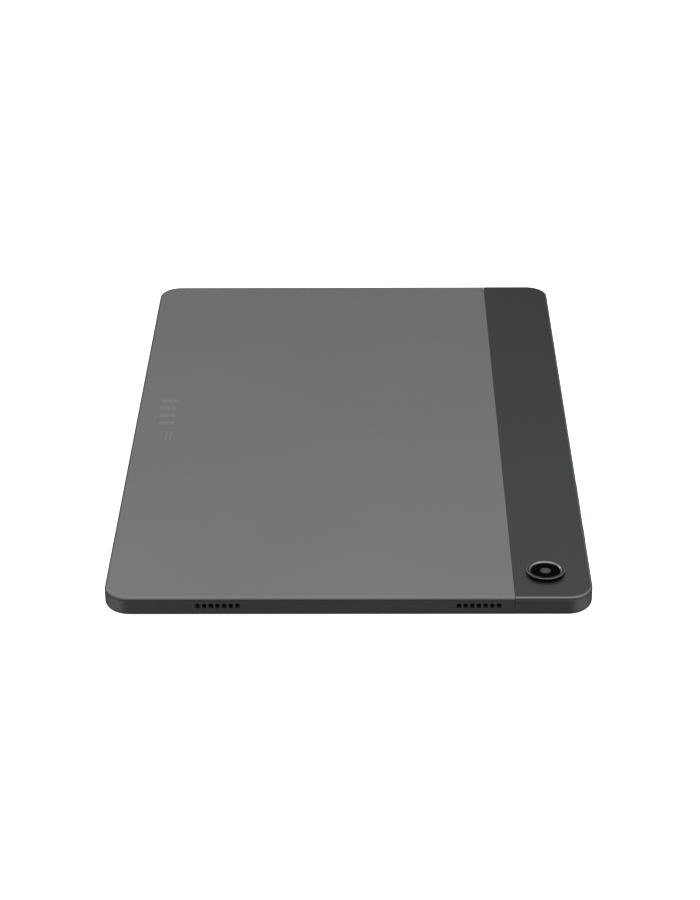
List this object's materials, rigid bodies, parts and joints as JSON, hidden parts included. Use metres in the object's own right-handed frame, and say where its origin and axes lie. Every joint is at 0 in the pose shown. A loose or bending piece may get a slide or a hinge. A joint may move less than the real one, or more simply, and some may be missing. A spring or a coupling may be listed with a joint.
{
  "type": "tablet computer",
  "caption": "Slim slate tablet computer lying display down, grey metal back with a dark camera strip, side keys, speaker grilles, ports and its inner parts.",
  "frame": {"origin": "under the middle of the body, on the outer face of the display glass, which is the face the tablet rests on", "axes": "+Z from the display glass towards the back cover, +Y along the long side, +X towards the long edge with the camera strip and the side keys"},
  "size_m": [0.159, 0.2512, 0.0088],
  "materials": {
    "back_metal": "fine matte blasted and anodised, mid grey",
    "strip_coat": "satin dark grey coat with a slight green-blue cast",
    "side_key_metal": "satin dark grey",
    "frame_plastic": "black moulded plastic, fine texture",
    "cover_glass": "black-backed cover glass, polished",
    "panel_metal": "display stack with a bright metal rear tray",
    "battery_wrap": "dark laminated pouch film",
    "board_mask": "green solder mask",
    "can_steel": "tinned pressed steel",
    "connector_plastic": "ivory moulded plastic",
    "flex_film": "amber polyimide film with copper tracks",
    "speaker_plastic": "black moulded plastic",
    "woven_mesh": "fine black woven dust mesh",
    "camera_metal": "black anodised, satin with a bright polished edge",
    "camera_glass": "black-backed glass with a clear centre, polished",
    "port_steel": "plated steel",
    "graphite_film": "dark grey graphite film",
    "screw_steel": "dark plated steel"
  },
  "bodies": {
    "tablet": {"back_cover": "back_metal", "camera_strip": "strip_coat", "mid_frame": "frame_plastic", "display_glass": "cover_glass", "display_panel": "panel_metal", "battery_cell_left": "battery_wrap", "battery_cell_right": "battery_wrap", "battery_board": "board_mask", "battery_lead": "flex_film", "battery_connector": "connector_plastic", "main_board": "board_mask", "processor_shield": "can_steel", "radio_shield": "can_steel", "display_connector": "connector_plastic", "camera_connector": "connector_plastic", "key_connector": "connector_plastic", "link_connector_main": "connector_plastic", "link_connector_port": "connector_plastic", "display_flex": "flex_film", "link_flex": "flex_film", "jack_flex": "flex_film", "camera_flex": "flex_film", "key_flex": "flex_film", "antenna_near": "flex_film", "antenna_far": "flex_film", "port_board": "board_mask", "charging_port_sleeve": "port_steel", "charging_port_tongue": "frame_plastic", "audio_jack": "frame_plastic", "microphone": "can_steel", "speaker_near_left": "speaker_plastic", "speaker_near_right": "speaker_plastic", "speaker_far_left": "speaker_plastic", "speaker_far_right": "speaker_plastic", "speaker_mesh_near_left": "woven_mesh", "speaker_mesh_near_right": "woven_mesh", "speaker_mesh_far_left": "woven_mesh", "speaker_mesh_far_right": "woven_mesh", "rear_camera": "camera_metal", "camera_ring": "camera_metal", "camera_lens_cover": "camera_glass", "front_camera": "camera_metal", "power_switch": "can_steel", "volume_down_switch": "can_steel", "volume_up_switch": "can_steel", "key_bracket": "can_steel", "card_socket": "can_steel", "card_ejector": "can_steel", "graphite_sheet": "graphite_film", "board_screw_1": "screw_steel", "board_screw_2": "screw_steel", "board_screw_3": "screw_steel", "board_screw_4": "screw_steel", "board_screw_5": "screw_steel", "board_screw_6": "screw_steel"},
    "power_key": {"power_button": "side_key_metal"},
    "volume_key": {"volume_rocker": "side_key_metal"},
    "tray": {"card_tray": "side_key_metal"}
  },
  "joints": [
    {"name": "power_press", "type": "slide", "parent": "tablet", "child": "power_key", "axis": [-1, 0, 0], "range_m": [0, 0.0003], "stiffness_N_per_m": 1200},
    {"name": "volume_rock", "type": "hinge", "parent": "tablet", "child": "volume_key", "pos_m": [0.07745, -0.05385, 0.0047], "axis": [0, 0, 1], "range_deg": [-1.2, 1.2], "stiffness_Nm_per_rad": 0.4},
    {"name": "tray_slide", "type": "slide", "parent": "tablet", "child": "tray", "axis": [1, 0, 0], "range_m": [0, 0.018]}
  ]
}
